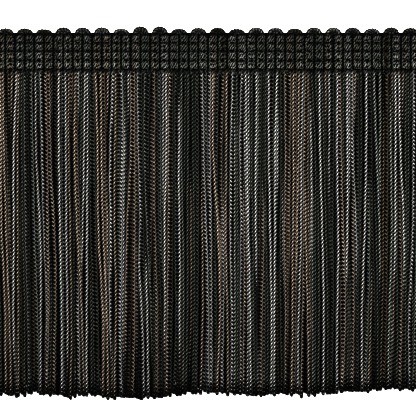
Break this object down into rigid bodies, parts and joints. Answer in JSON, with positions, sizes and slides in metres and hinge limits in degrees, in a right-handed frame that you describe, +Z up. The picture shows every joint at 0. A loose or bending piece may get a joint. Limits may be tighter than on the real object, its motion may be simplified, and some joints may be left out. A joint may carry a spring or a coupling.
{
  "type": "tassel fringe trim",
  "caption": "Cut length of fringe trim: chainette cords in two layers hang from a knitted heading with a scalloped top edge, for sewing along a hem or cushion edge.",
  "frame": {"origin": "centre of the trim's outline, on the surface that it lies on", "axes": "+X along the trim, +Y towards the scalloped edge, +Z up out of the face"},
  "size_m": [0.1896, 0.1534, 0.0033],
  "materials": {
    "heading_yarn": "matt knitted yarn, dark green grey with tan and silver",
    "cord_yarn": "chainette yarns in tan, silver grey and dark green grey"
  },
  "bodies": {
    "root": {"heading": "heading_yarn", "fringe": "cord_yarn"}
  },
  "joints": []
}
